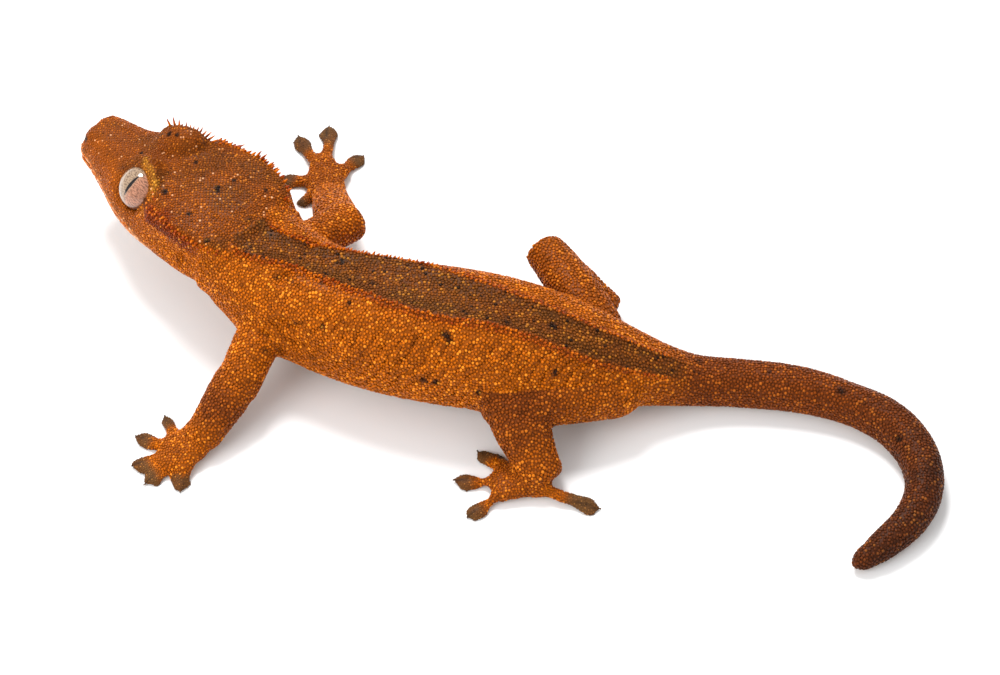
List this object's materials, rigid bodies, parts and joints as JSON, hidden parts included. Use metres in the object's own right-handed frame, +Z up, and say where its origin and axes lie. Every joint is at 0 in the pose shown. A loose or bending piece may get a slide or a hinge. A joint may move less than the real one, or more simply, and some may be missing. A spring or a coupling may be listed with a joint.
{
  "type": "crested gecko",
  "caption": "Still, life-size crested gecko in a walking pose, head turned up and to one side, tail curled, padded toes flat on the floor.",
  "frame": {"origin": "on the floor, under the middle of the animal's bounding box", "axes": "+X runs along the body from the head towards the tail, +Z is up, and the animal's left side faces -Y"},
  "size_m": [0.1216, 0.0806, 0.0209],
  "materials": {
    "skin": "fine granular scales, low sheen, orange ochre",
    "crown": "fine granular scales, low sheen, olive brown",
    "tail_skin": "fine granular scales, low sheen, dark red brown",
    "pad": "matt, grey brown",
    "iris": "wet gloss, pinkish grey with a thin black slit"
  },
  "bodies": {
    "root": {"head": "crown", "eye_left": "iris", "eye_right": "iris", "neck": "skin", "torso": "skin", "tail_base": "tail_skin", "tail_middle": "tail_skin", "tail_tip": "tail_skin", "left_upper_arm": "skin", "left_forearm": "skin", "left_hand": "skin", "left_hand_toe_1": "pad", "left_hand_toe_2": "pad", "left_hand_toe_3": "pad", "left_hand_toe_4": "pad", "left_hand_toe_5": "pad", "right_upper_arm": "skin", "right_forearm": "skin", "right_hand": "skin", "right_hand_toe_1": "pad", "right_hand_toe_2": "pad", "right_hand_toe_3": "pad", "right_hand_toe_4": "pad", "right_hand_toe_5": "pad", "left_thigh": "skin", "left_shank": "skin", "left_foot": "skin", "left_foot_toe_1": "pad", "left_foot_toe_2": "pad", "left_foot_toe_3": "pad", "left_foot_toe_4": "pad", "left_foot_toe_5": "pad", "right_thigh": "skin", "right_shank": "skin", "right_foot": "skin", "right_foot_toe_1": "pad", "right_foot_toe_2": "pad", "right_foot_toe_3": "pad", "right_foot_toe_4": "pad", "right_foot_toe_5": "pad"}
  },
  "joints": []
}
